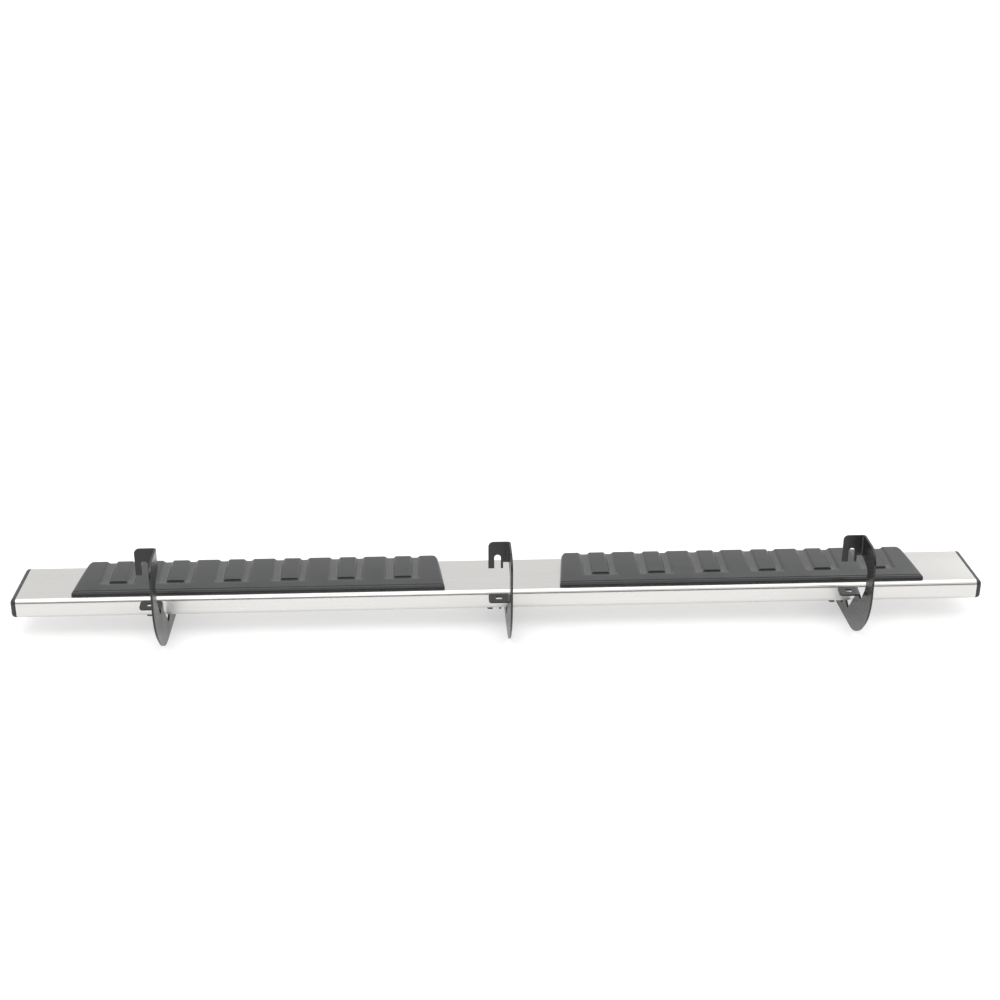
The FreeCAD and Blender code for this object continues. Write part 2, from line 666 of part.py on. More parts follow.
def bracket(name):
    body = new_body("Bracket" + name.title())
    side_view = new_sketch(body, "PlateOutline" + name, "YZ_Plane")
    corners, rounds = bracket_outline()
    add_outline(side_view, corners)
    extrude(body, "Pad", "PlatePad" + name, side_view, "Sizes.plate")
    round_corners(body, "PlateCorner" + name, side_view, rounds)
    slot_round = "(Sizes.slot_to - Sizes.slot_from - Sizes.slot_flat) / 2"

    # Seat flange, flat under the board, with its open bolt slot towards the vehicle.
    seat = new_sketch(body, "SeatOutline" + name, "XY_Plane", UNDERSIDE)
    seat_corners = slotted_flange("Sizes.seat_start", "Sizes.seat_end",
                                  "Sizes.seat_tip", "Sizes.seat_slot_start")
    add_outline(seat, seat_corners)
    extrude(body, "Pad", "SeatPad" + name, seat, "Sizes.plate", backwards=True)
    round_corners(body, "SeatCorner" + name, seat, {
        slot_round: seat_corners[4:6],
        "Sizes.seat_corner": seat_corners[1:3],
    })

    # Hook flange, upright and facing the outer side, with its slot open downwards.
    hook = new_sketch(body, "HookOutline" + name, "XZ_Plane", "-Sizes.hook_face")
    hook_corners = slotted_flange("Sizes.hook_top", "Sizes.hook_heel",
                                  "Sizes.hook_tip", "Sizes.hook_slot_top")
    add_outline(hook, hook_corners)
    extrude(body, "Pad", "HookPad" + name, hook, "Sizes.plate", backwards=True)
    round_corners(body, "HookCorner" + name, hook, {
        slot_round: hook_corners[4:6],
        "Sizes.hook_corner": hook_corners[1:2],
    })

    # Middle tab, tilted down towards the vehicle, with one oblong hole.
    tab = new_sketch(body, "TabOutline" + name, "XY_Plane", "Sizes.tab_height")
    tab.setExpression(".AttachmentOffset.Base.y", "Sizes.tab_from")
    tilt = FreeCAD.Rotation(FreeCAD.Vector(1, 0, 0), -SIZES["tab_tilt"])
    tab.AttachmentOffset = FreeCAD.Placement(tab.AttachmentOffset.Base, tilt)
    tab.setExpression(".AttachmentOffset.Rotation.Angle", "-Sizes.tab_tilt")
    doc.recompute()
    tab_corners = rectangle("0", "0", "Sizes.tab_width", "Sizes.tab_depth")
    add_outline(tab, tab_corners)
    half_long = "Sizes.tab_hole_long / 2"
    half_wide = "Sizes.tab_hole_wide / 2"
    hole = rectangle("Sizes.tab_hole_centre - " + half_long, "Sizes.tab_depth / 2 - " + half_wide,
                     "Sizes.tab_hole_centre + " + half_long, "Sizes.tab_depth / 2 + " + half_wide)
    add_outline(tab, hole)
    extrude(body, "Pad", "TabPad" + name, tab, "Sizes.plate", backwards=True)
    round_corners(body, "TabCorner" + name, tab, {
        "Sizes.tab_corner": tab_corners[1:3],
        "Sizes.tab_hole_corner": hole,
    })

    for flange in (seat, hook, tab):
        bend(body, "Bend" + flange.Name, flange)
    place(body, "Sizes.bracket_%s_x" % name)
    sub_part(body, "bracket_" + name)


# ---------------------------------------------------------------- fasteners

def fastener_spots(name):
    """The two bolt positions of one bracket, one in each channel."""
    along = "Sizes.bracket_%s_x + (Sizes.slot_from + Sizes.slot_to) / 2" % name
    return [(along, CENTRED_Y + " + " + channel) for channel in CHANNELS]


def t_bolts(name):
    pieces = []
    for index, (along, across) in enumerate(fastener_spots(name)):
        tag = "%s%d" % (name, index)
        seat = UNDERSIDE + " + Sizes.shell_wall + Sizes.rail_wall"
        corner = (along + " - Sizes.bolt_head_wide / 2", across + " - Sizes.bolt_head_long / 2", seat)
        head = primitive("Part::Box", "BoltHead" + tag,
                         {"Length": "Sizes.bolt_head_wide", "Width": "Sizes.bolt_head_long",
                          "Height": "Sizes.bolt_head_thick"}, corner)
        shank = primitive("Part::Cylinder", "BoltShank" + tag,
                          {"Radius": "Sizes.bolt_radius", "Height": "Sizes.bolt_length + Sizes.overcut"},
                          (along, across, seat + " - Sizes.bolt_length"))
        pieces.append(combine("Part::Fuse", "Bolt" + tag, head, shank))
    sub_part(group("Bolts" + name.title(), pieces), "t_bolts_" + name)


def washers(name):
    pieces = []
    for index, (along, across) in enumerate(fastener_spots(name)):
        tag = "%s%d" % (name, index)
        low = UNDERSIDE + " - Sizes.plate - Sizes.washer_thick"
        disc = primitive("Part::Cylinder", "WasherDisc" + tag,
                         {"Radius": "Sizes.washer_radius", "Height": "Sizes.washer_thick"},
                         (along, across, low))
        bore = primitive("Part::Cylinder", "WasherBore" + tag,
                         {"Radius": "Sizes.bolt_radius + Sizes.fit_gap",
                          "Height": "Sizes.washer_thick + 2 * Sizes.overcut"},
                         (along, across, low + " - Sizes.overcut"))
        pieces.append(combine("Part::Cut", "Washer" + tag, disc, bore))
    sub_part(group("Washers" + name.title(), pieces), "washers_" + name)


def flange_nuts(name):
    pieces = []
    for index, (along, across) in enumerate(fastener_spots(name)):
        tag = "%s%d" % (name, index)
        high = UNDERSIDE + " - Sizes.plate - Sizes.washer_thick"
        low = high + " - Sizes.nut_height"
        hexagon = primitive("Part::Prism", "NutHexagon" + tag,
                            {"Circumradius": "Sizes.nut_flats / sqrt(3)", "Height": "Sizes.nut_height"},
                            (along, across, low))
        hexagon.Polygon = 6
        disc = primitive("Part::Cylinder", "NutFlange" + tag,
                         {"Radius": "Sizes.nut_flange_radius", "Height": "Sizes.nut_flange_thick"},
                         (along, across, high + " - Sizes.nut_flange_thick"))
        bore = primitive("Part::Cylinder", "NutBore" + tag,
                         {"Radius": "Sizes.bolt_radius",
                          "Height": "Sizes.nut_height + 2 * Sizes.overcut"},
                         (along, across, low + " - Sizes.overcut"))
        blank = combine("Part::Fuse", "NutBlank" + tag, hexagon, disc)
        pieces.append(combine("Part::Cut", "Nut" + tag, blank, bore))
    sub_part(group("Nuts" + name.title(), pieces), "flange_nuts_" + name)


board_shell()
channel_rail("outer", CHANNELS[0])
channel_rail("inner", CHANNELS[1])
for side_name, side_sign in SIDES.items():
    end_cap(side_name, side_sign)
    step_pad(side_name, side_sign)
    pad_retainers(side_name, side_sign)
for station in STATIONS:
    bracket(station)
    t_bolts(station)
    washers(station)
    flange_nuts(station)
doc.recompute()

# ---------------------------------------------------------------- checks and files

for thing in doc.Objects:
    if "Invalid" in thing.State or "Error" in thing.State:
        raise RuntimeError("%s is %s" % (thing.Name, thing.State))
for thing in sub_parts:
    if thing.Shape.isNull() or not thing.Shape.isValid():
        raise RuntimeError("%s has no valid shape" % thing.Label)

os.makedirs("parts", exist_ok=True)
for thing in sub_parts:
    thing.Shape.exportStep("parts/%s.step" % thing.Label)
    box = thing.Shape.BoundBox
    print("%-20s %2d solids, X %.1f..%.1f  Y %.1f..%.1f  Z %.1f..%.1f  %.0f cm3" % (
        thing.Label, len(thing.Shape.Solids), box.XMin, box.XMax, box.YMin, box.YMax,
        box.ZMin, box.ZMax, thing.Shape.Volume / 1000))
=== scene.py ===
import json
import math

import bmesh
import bpy
from mathutils import Matrix, Vector


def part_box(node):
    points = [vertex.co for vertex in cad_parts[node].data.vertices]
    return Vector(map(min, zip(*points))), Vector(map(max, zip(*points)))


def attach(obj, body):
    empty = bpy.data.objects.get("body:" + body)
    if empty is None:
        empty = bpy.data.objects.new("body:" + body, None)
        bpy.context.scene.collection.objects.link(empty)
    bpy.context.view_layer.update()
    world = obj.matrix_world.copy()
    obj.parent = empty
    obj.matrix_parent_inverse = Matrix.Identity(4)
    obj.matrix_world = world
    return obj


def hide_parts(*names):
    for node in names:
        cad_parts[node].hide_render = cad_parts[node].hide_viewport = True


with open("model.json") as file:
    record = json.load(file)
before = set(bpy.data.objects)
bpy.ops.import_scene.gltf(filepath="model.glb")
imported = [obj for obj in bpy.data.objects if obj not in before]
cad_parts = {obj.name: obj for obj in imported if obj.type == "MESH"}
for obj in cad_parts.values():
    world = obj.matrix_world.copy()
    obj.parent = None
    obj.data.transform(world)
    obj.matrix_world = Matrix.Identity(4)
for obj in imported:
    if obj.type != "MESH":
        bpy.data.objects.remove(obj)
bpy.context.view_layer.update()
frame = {"nodes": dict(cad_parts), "record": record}

MM = 0.001
STATIONS = ("left", "middle", "right")

# ---------------------------------------------------------------- places taken from the frame

shell_low, shell_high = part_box("board_shell")
OUTER_FACE = shell_low.y
BOARD_TOP = shell_high.z


# ---------------------------------------------------------------- materials

class Shader:
    """A Principled material with short calls for the textures that feed it."""

    def __init__(self, name, **sockets):
        self.material = bpy.data.materials.new(name)
        self.material.use_nodes = True
        self.tree = self.material.node_tree
        self.surface = self.tree.nodes["Principled BSDF"]
        for socket, value in sockets.items():
            self.surface.inputs[socket.replace("_", " ")].default_value = value
        self.place = self.tree.nodes.new("ShaderNodeTexCoord").outputs["Object"]

    def noise(self, scale, stretch=(1, 1, 1), detail=3.0, rough=0.55):
        """Noise in object space, in features per metre along each axis."""
        mapping = self.tree.nodes.new("ShaderNodeMapping")
        mapping.inputs["Scale"].default_value = stretch
        self.tree.links.new(self.place, mapping.inputs["Vector"])
        noise = self.tree.nodes.new("ShaderNodeTexNoise")
        noise.inputs["Scale"].default_value = scale
        noise.inputs["Detail"].default_value = detail
        noise.inputs["Roughness"].default_value = rough
        self.tree.links.new(mapping.outputs["Vector"], noise.inputs["Vector"])
        return noise.outputs["Fac"]

    def spread(self, source, low, high, start=0.3, end=0.7):
        """Map a texture's middle range to a range of values."""
        ramp = self.tree.nodes.new("ShaderNodeMapRange")
        ramp.inputs["From Min"].default_value = start
        ramp.inputs["From Max"].default_value = end
        ramp.inputs["To Min"].default_value = low
        ramp.inputs["To Max"].default_value = high
        self.tree.links.new(source, ramp.inputs["Value"])
        return ramp.outputs["Result"]

    def mix(self, factor, first, second):
        """Colour between two, each plain or another node's, by a texture."""
        mix = self.tree.nodes.new("ShaderNodeMix")
        mix.data_type = "RGBA"
        for name, colour in (("A", first), ("B", second)):
            if isinstance(colour, tuple):
                mix.inputs[name].default_value = (*colour, 1)
            else:
                self.tree.links.new(colour, mix.inputs[name])
        self.tree.links.new(factor, mix.inputs["Factor"])
        return mix.outputs["Result"]

    def tones(self, texture, dark, light):
        """Colour that a texture's middle range moves between a dark and a light tone."""
        return self.mix(self.spread(texture, 0, 1), dark, light)

    def attribute(self, name):
        """A value that the mesh itself carries at each vertex."""
        reader = self.tree.nodes.new("ShaderNodeAttribute")
        reader.attribute_name = name
        return reader.outputs["Fac"]

    def feed(self, socket, source):
        """Let a texture or colour drive one of the surface's sockets."""
        self.tree.links.new(source, self.surface.inputs[socket])

    def bump(self, source, strength, depth):
        """Fine relief from a texture, as deep as depth in metres at full strength."""
        bump = self.tree.nodes.new("ShaderNodeBump")
        bump.inputs["Strength"].default_value = strength
        bump.inputs["Distance"].default_value = depth
        self.tree.links.new(source, bump.inputs["Height"])
        self.feed("Normal", bump.outputs["Normal"])


def brushed_steel():
    """Stainless sheet, brushed along the board: long thin scratches and a faint cloudiness."""
    steel = Shader("brushed_stainless", Metallic=1.0, Anisotropic=0.35)
    grain = steel.noise(40, (0.06, 40, 40), detail=4.0)
    cloud = steel.noise(5, (0.5, 2, 2))
    steel.feed("Base Color", steel.tones(grain, (0.63, 0.617, 0.60), (0.70, 0.688, 0.672)))
    steel.feed("Roughness", steel.spread(cloud, 0.24, 0.33))
    steel.bump(grain, 0.10, 0.02 * MM)
    return steel.material


def mill_steel():
    """Plain hot-rolled rail steel, dull and blotchy."""
    steel = Shader("mill_steel", Metallic=1.0)
    blotch = steel.noise(60, (0.4, 1, 1))
    steel.feed("Base Color", steel.tones(blotch, (0.36, 0.36, 0.36), (0.52, 0.51, 0.49)))
    steel.feed("Roughness", steel.spread(blotch, 0.38, 0.55))
    steel.bump(steel.noise(900), 0.15, 0.03 * MM)
    return steel.material


def zinc_plate():
    """Bright zinc on the fasteners, with a fine crystalline mottle."""
    zinc = Shader("zinc_plate", Metallic=1.0)
    mottle = zinc.noise(500)
    zinc.feed("Base Color", zinc.tones(mottle, (0.50, 0.51, 0.50), (0.68, 0.68, 0.65)))
    zinc.feed("Roughness", zinc.spread(mottle, 0.25, 0.42))
    zinc.bump(mottle, 0.15, 0.03 * MM)
    return zinc.material


def pad_plastic():
    """Charcoal thermoplastic with a moulded leather-like grain, a little greyer where feet rub, and painted
    paler in
    the groove floors: a painted sheen that stands in for the light the pockets catch."""
    plastic = Shader("pad_plastic", Specular_IOR_Level=0.6)
    scuff = plastic.noise(22, (1, 1.5, 1), detail=5.0)
    grain = plastic.noise(1300, detail=2.0)
    skin = plastic.tones(scuff, (0.019, 0.020, 0.021), (0.031, 0.032, 0.034))
    # painted sheen: the deeper a point lies in a groove, the paler its colour, in place of the light the
    # pockets catch
    painted_groove_sheen = plastic.spread(plastic.attribute("groove"), 0, 1, start=0.2, end=1.0)
    plastic.feed("Base Color", plastic.mix(painted_groove_sheen, skin, (0.070, 0.071, 0.072)))
    plastic.feed("Roughness", plastic.spread(scuff, 0.30, 0.40))
    plastic.bump(grain, 0.30, 0.08 * MM)
    return plastic.material


def cap_plastic():
    """Near-black cap plastic: smoother than the pads, with a fine spark-eroded texture."""
    plastic = Shader("cap_plastic", Specular_IOR_Level=0.5)
    grain = plastic.noise(1800, detail=2.0)
    haze = plastic.noise(35)
    plastic.feed("Base Color", plastic.tones(haze, (0.016, 0.017, 0.020), (0.026, 0.027, 0.031)))
    plastic.feed("Roughness", plastic.spread(haze, 0.34, 0.44))
    plastic.bump(grain, 0.2, 0.05 * MM)
    return plastic.material


def powder_coat():
    """Satin black powder coat, with the orange peel of a thick coat over plate."""
    coat = Shader("powder_coat", Specular_IOR_Level=0.5)
    peel = coat.noise(420, detail=1.5)
    haze = coat.noise(18)
    coat.feed("Base Color", coat.tones(haze, (0.007, 0.007, 0.008), (0.013, 0.013, 0.014)))
    coat.feed("Roughness", coat.spread(haze, 0.24, 0.32))
    coat.bump(peel, 0.25, 0.06 * MM)
    return coat.material


MATERIALS = {
    "brushed_shell": brushed_steel(),
    "rail_steel": mill_steel(),
    "zinc": zinc_plate(),
    "pad_plastic": pad_plastic(),
    "cap_plastic": cap_plastic(),
    "black_coat": powder_coat(),
}


def dress_cad_nodes():
    """Every CAD node takes the detailed material of its slot in the record."""
    for entry in frame["record"]["subparts"]:
        node = frame["nodes"][entry["node"]]
        for material_slot in node.material_slots:
            material_slot.material = MATERIALS[entry["material_slot"]]


# ---------------------------------------------------------------- mesh helpers

def new_piece(name, mesh, slot, body, node):
    """Link a finished mesh as a piece that stands for one CAD node."""
    piece = bpy.data.objects.new(name, mesh)
    bpy.context.scene.collection.objects.link(piece)
    mesh.materials.clear()
    mesh.materials.append(MATERIALS[slot])
    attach(piece, body)
    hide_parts(node)
    return piece


def smooth(mesh, sharp_degrees):
    """Smooth shading, broken at edges sharper than the angle."""
    mesh.shade_smooth()
    mesh.set_sharp_from_angle(angle=math.radians(sharp_degrees))


# ---------------------------------------------------------------- step pads

# Millimetres. A section is drawn in y, inwards from the board's outer face, and z, up from the board's top.
BOARD_ROUND = 10.0         # the board's outer top corner
SKIN_GAP = 0.1             # between the board and the pad's underside
PAD_DEPTH = 140.0
PAD_LIP = 9.5              # height of the lip on the vehicle side
LIP_ROUND = 1.5
LIP_STEPS = 6
LIP_DRAFT = 0.6            # the underside starts this far inside the lip
DRAFT_STEP = 0.3
LINE_LOW, LINE_HIGH = 2.4, 4.4
LINE_SLOPE = 0.4           # slanted side of the shadow line round the lip
LINE_DEPTH = 1.2
BEAD_LOW, BEAD_HIGH = 134.0, 137.2
BEAD_SLOPE = 0.6           # slanted side of the line sunk along the top's edge
BEAD_DEPTH = 1.1
PAD_CROWN = 15.5           # highest point of the section, above the board's top
CROWN_Y = 16.0
NOSE_STEPS = 12
NOSE_TURN = math.radians(60)
NOSE_REACH = 0.9           # the underside follows the board's corner a little behind the skin
NOSE_LAG = 0.95
PAD_WRAP = 5.5             # how far the outer edge comes down over the board's face
WRAP_EDGE = 0.25
PAD_TAPER = 14.0           # how far the ends lean in from the lip to the outer edge
PAD_CORNER = 26.0
PAD_END = 42.0             # length of the plain stretch at each end
END_ROUND = 7.0
END_HEIGHT = 0.55          # share of the section's height that the very end has
END_STEPS = (0.0, 0.2, 0.6, 1.2, 2.1, 3.2, 4.5, 5.8, END_ROUND, 11.0, 18.0, 26.0, 34.0)
GROOVE_DEPTH = 5.0
GROOVE_FIRST = 22.5        # the pocket's first leg, the raised land and the second leg, along the pad
GROOVE_LAND = 27.5
GROOVE_SECOND = 24.5
GROOVE_WIDTH = GROOVE_FIRST + GROOVE_LAND + GROOVE_SECOND
GROOVE_PITCH = 112.5
GROOVE_COUNT = 6
GROOVES_START = -((GROOVE_COUNT - 1) * GROOVE_PITCH + GROOVE_WIDTH) / 2
RAMP_START, RAMP_END = 114.0, 98.0
LAND_FOOT = 100.5
FOOT_BLEND = 1.0
SIDE_BLEND = 8.0
LAND_BLEND = 6.5
NOSE_FADE = (-4.2, -2.0)   # the pockets run out between these heights on the outer edge
RIB_PITCH = 3.75
RIB_HEIGHT = 1.0
RIB_RAMP = 8.0             # the ribs rise over this length from the ramp's end
RIB_FADE = (2.0, 12.0)     # and run out between these places near the outer edge
SHOULDER = 0.8             # extra sections this far outside a groove's sides
PLAIN_STEP = 6.0           # between sections where the pad is plain
PLAIN_CLEAR = 1.5
WELD = 0.01 * MM           # points closer than this are one


def ease(value, start, end):
    """0 before start, 1 after end, and smooth between, whichever way round they are."""
    t = min(max((value - start) / (end - start), 0.0), 1.0)
    return t * t * (3 - 2 * t)


def pad_profile():
    """Cross-section of the pad from the foot of the vehicle-side lip round to the outer edge: rows of (y, z)
    on the skin and (y, z) below it on the board."""
    run = PAD_DEPTH - CROWN_Y
    rise = PAD_CROWN - PAD_LIP
    top_radius = (run ** 2 + rise ** 2) / (2 * rise)
    nose_radius = (CROWN_Y ** 2 + PAD_CROWN ** 2) / (2 * PAD_CROWN)
    rows = []

    def top(y):
        return PAD_CROWN - top_radius + math.sqrt(top_radius ** 2 - (y - CROWN_Y) ** 2)

    # The lip, with a shallow shadow line a third of the way up.
    lip = [(0.0, 0.0), (LINE_LOW, 0.0), (LINE_LOW + LINE_SLOPE, LINE_DEPTH),
           (LINE_HIGH - LINE_SLOPE, LINE_DEPTH), (LINE_HIGH, 0.0), (PAD_LIP - LIP_ROUND, 0.0)]
    for z, inset in lip:
        rows.append(((PAD_DEPTH - inset, z), (PAD_DEPTH - LIP_DRAFT, 0.0)))
    for step in range(1, LIP_STEPS + 1):
        angle = math.pi / 2 * step / LIP_STEPS
        y = PAD_DEPTH - LIP_ROUND * (1 - math.cos(angle))
        z = PAD_LIP - LIP_ROUND * (1 - math.sin(angle))
        rows.append(((y, z), (PAD_DEPTH - LIP_DRAFT - step * DRAFT_STEP, 0.0)))

    # The top: a sunk line along its edge, then rows close together on the ramps and at the lands' feet.
    across = [BEAD_HIGH, BEAD_HIGH - BEAD_SLOPE, BEAD_LOW + BEAD_SLOPE, BEAD_LOW, 126, 119]
    across += [RAMP_START - 2 * step for step in range(7)]
    across += [LAND_FOOT + 0.4 * step for step in (2, 1, 0, -1, -2)]
    across += [99, RAMP_END, 95, 88, 78, 68, 58, 48, 38, 28, 22, CROWN_Y]
    for y in across:
        sunk = BEAD_DEPTH if BEAD_LOW < y < BEAD_HIGH else 0.0
        rows.append(((y, top(y) - sunk), (y, 0.0)))

    # The nose, an arc from the crown to the outer edge, over the board's rounded corner.
    for step in range(1, NOSE_STEPS + 1):
        angle = math.asin(CROWN_Y / nose_radius) * step / NOSE_STEPS
        y = CROWN_Y - nose_radius * math.sin(angle)
        z = PAD_CROWN - nose_radius * (1 - math.cos(angle))
        turn = NOSE_TURN * step / NOSE_STEPS
        base_y = BOARD_ROUND - (BOARD_ROUND - SKIN_GAP) * math.sin(turn) * NOSE_REACH
        base_z = -BOARD_ROUND + (BOARD_ROUND + SKIN_GAP) * math.cos(turn * NOSE_LAG)
        rows.append(((max(y, 0.0), z), (base_y, base_z)))

    # The outer edge, down over the board's face.
    for z in (-1.5, -3.0, -4.6, -PAD_WRAP):
        edge = WRAP_EDGE if z == -PAD_WRAP else 0.0
        level = math.asin((BOARD_ROUND + z) / (BOARD_ROUND + SKIN_GAP))
        rows.append(((edge, z), (BOARD_ROUND - (BOARD_ROUND + SKIN_GAP) * math.cos(level), z)))
    return rows


def groove_depth(along, y, z):
    """Depth of the moulded pocket at a point of the skin: U-shaped, round a narrow raised land."""
    local = (along - GROOVES_START) % GROOVE_PITCH
    index = (along - GROOVES_START) // GROOVE_PITCH
    if index < 0 or index >= GROOVE_COUNT or local > GROOVE_WIDTH + SIDE_BLEND:
        return 0.0
    pocket = ease(local, 0, SIDE_BLEND) * ease(local, GROOVE_WIDTH, GROOVE_WIDTH - SIDE_BLEND)
    pocket *= ease(y, RAMP_START, RAMP_END)
    land_from = GROOVE_FIRST
    land_to = GROOVE_FIRST + GROOVE_LAND
    land = ease(local, land_from - LAND_BLEND, land_from) * ease(local, land_to + LAND_BLEND, land_to)
    land *= ease(y, LAND_FOOT + FOOT_BLEND, LAND_FOOT)
    fade = ease(z, *NOSE_FADE)
    ribbed = ease(y, RAMP_END, RAMP_END - RIB_RAMP) * ease(y, *RIB_FADE) * (1 - land)
    rib = RIB_HEIGHT * ribbed * (0.5 + 0.5 * math.cos(2 * math.pi * local / RIB_PITCH))
    return (GROOVE_DEPTH - rib) * pocket * (1 - land) * fade


def pad_stations(inner):
    """Places of the sections between two ends, measured from the pad's middle: four to a rib in the grooves,
    one just outside each groove's side, and wide apart elsewhere."""
    places = set()
    for pocket in range(GROOVE_COUNT):
        start = GROOVES_START + pocket * GROOVE_PITCH
        land_from = GROOVE_FIRST
        land_to = GROOVE_FIRST + GROOVE_LAND
        for leg_start, leg_end in ((0, land_from), (land_to, GROOVE_WIDTH)):
            steps = round((leg_end - leg_start) / (RIB_PITCH / 4))
            for step in range(steps + 1):
                places.add(round(start + leg_start + (leg_end - leg_start) * step / steps, 4))
        for side in (-SHOULDER, GROOVE_WIDTH + SHOULDER, land_from + SHOULDER, land_to - SHOULDER):
            places.add(round(start + side, 4))
    for step in range(int(2 * inner / PLAIN_STEP) + 1):
        place = -inner + step * PLAIN_STEP
        if all(abs(place - other) > PLAIN_CLEAR for other in places):
            places.add(round(place, 4))
    return sorted(places)


def end_inset(y):
    """How far the pad's end draws in at a distance from the outer face."""
    taper = PAD_TAPER * (1 - y / PAD_DEPTH)
    if y >= PAD_CORNER:
        return taper
    return taper + PAD_CORNER - math.sqrt(PAD_CORNER ** 2 - (PAD_CORNER - y) ** 2)


def place_row(side, reach, half, outside, base):
    """One row of the skin at one section: its place along the pad, the moved (y, z) and the depth of a groove
    there. At the ends, side is -1 or 1 and reach counts in from the rim. Between them, side is 0 and reach
    counts from the pad's middle."""
    (y, z), (base_y, base_z) = outside, base
    if side == 0:
        along = reach
        swell = 1.0
        depth = groove_depth(along, y, z)
    else:
        rim = half - end_inset(y)
        along = side * (rim - (rim - (half - PAD_END)) * (reach / PAD_END))
        lift = 1 - min(reach / END_ROUND, 1.0)
        swell = END_HEIGHT + (1 - END_HEIGHT) * math.sqrt(max(1 - lift ** 2, 0.0))
        depth = 0.0
    out_y = base_y + (y - base_y) * swell
    out_z = base_z + (z - base_z) * swell
    thickness = math.hypot(y - base_y, z - base_z)
    if depth > 0 and thickness > 0:
        out_y -= (y - base_y) / thickness * depth
        out_z -= (z - base_z) / thickness * depth
    return along, out_y, out_z, depth


def step_pad(name):
    """Moulded pad: rings of skin and underside, strung along X and closed at both ends."""
    low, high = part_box(name)
    middle = (low.x + high.x) / 2
    half = (high.x - low.x) / MM / 2
    rows = pad_profile()
    columns = [(-1, step) for step in END_STEPS]
    columns += [(0, place) for place in pad_stations(half - PAD_END)]
    columns += [(1, step) for step in reversed(END_STEPS)]

    mesh = bmesh.new()
    groove = mesh.verts.layers.float.new("groove")
    rings = []
    for side, reach in columns:
        outside = []
        inside = []
        for row, base in rows:
            along, out_y, out_z, depth = place_row(side, reach, half, row, base)
            x = middle + along * MM
            skin = mesh.verts.new((x, OUTER_FACE + out_y * MM, BOARD_TOP + out_z * MM))
            # this share of the groove's depth also drives the painted sheen in the pad material
            skin[groove] = depth / GROOVE_DEPTH
            outside.append(skin)
            base_y, base_z = base
            under = (x, OUTER_FACE + base_y * MM, BOARD_TOP + (base_z + SKIN_GAP) * MM)
            inside.append(mesh.verts.new(under))
        rings.append((outside, inside))

    count = len(rows)
    for (out_a, in_a), (out_b, in_b) in zip(rings, rings[1:]):
        for row in range(count - 1):
            mesh.faces.new((out_a[row], out_b[row], out_b[row + 1], out_a[row + 1]))
            mesh.faces.new((in_a[row], in_a[row + 1], in_b[row + 1], in_b[row]))
        mesh.faces.new((out_a[0], in_a[0], in_b[0], out_b[0]))
        mesh.faces.new((out_a[-1], out_b[-1], in_b[-1], in_a[-1]))
    for outside, inside in (rings[0], rings[-1]):
        for row in range(count - 1):
            mesh.faces.new((outside[row], outside[row + 1], inside[row + 1], inside[row]))
    bmesh.ops.remove_doubles(mesh, verts=mesh.verts, dist=WELD)
    bmesh.ops.recalc_face_normals(mesh, faces=mesh.faces)
    data = bpy.data.meshes.new("moulded_" + name)
    mesh.to_mesh(data)
    mesh.free()
    smooth(data, sharp_degrees=42)
    new_piece("moulded_" + name, data, "pad_plastic", "board", name)


# ---------------------------------------------------------------- brackets

EDGE_BREAK = 0.55 * MM
CUT_EDGE = math.radians(50)       # edges of the plate sharper than this are cut edges
FLAT_FACE = math.radians(0.5)


def bracket(station):
    """The bent plate with its cut edges broken, as a tumbled and coated plate has them."""
    node = "bracket_" + station
    mesh = bmesh.new()
    mesh.from_mesh(frame["nodes"][node].data)
    bmesh.ops.remove_doubles(mesh, verts=mesh.verts, dist=WELD)
    bmesh.ops.dissolve_limit(mesh, angle_limit=FLAT_FACE, verts=mesh.verts, edges=mesh.edges)
    sharp = [edge for edge in mesh.edges
             if len(edge.link_faces) == 2 and edge.calc_face_angle() > CUT_EDGE]
    bmesh.ops.bevel(mesh, geom=sharp, offset=EDGE_BREAK, segments=2, profile=0.5, affect="EDGES",
                    clamp_overlap=True, harden_normals=False)
    data = bpy.data.meshes.new("plate_" + node)
    mesh.to_mesh(data)
    mesh.free()
    smooth(data, sharp_degrees=40)
    plate = new_piece("plate_" + node, data, "black_coat", node, node)
    normals = plate.modifiers.new("flat_faces", "WEIGHTED_NORMAL")
    normals.weight = 100
    normals.keep_sharp = True


# ---------------------------------------------------------------- fasteners

# M8 hardware, in metres.
THREAD_PITCH = 1.25 * MM
THREAD_DEPTH = 0.55 * MM
THREAD_SHAPE = ((0, 0), (0.15, 0), (0.5, 1), (0.85, 0))   # shares of the pitch, and of the depth there
BOLT_RADIUS = 4 * MM
BOLT_POINT = 0.7 * MM              # chamfer at the bolt's end
THREAD_START, THREAD_END = 1.0 * MM, 15.0 * MM
AXIS = 0.01 * MM                   # as near the axis as a turned profile comes
HEAD_SIZE = (8.4, 18, 4)           # in millimetres: along the rail, across it and high
HEAD_BREAK = 0.5 * MM
HEAD_OVERLAP = 0.5 * MM            # how far the shank reaches into the head
WASHER_RADIUS = 12 * MM
WASHER_BORE = 4.2 * MM
WASHER_EDGE = 0.35 * MM
WASHER_STEPS = 48
NUT_FLAT = 6.5 * MM                # half of the hexagon's width across its flats
NUT_FLANGE = 8.9 * MM
NUT_STEPS = 72
SHANK_STEPS = 32
FINE_WELD = 0.002 * MM


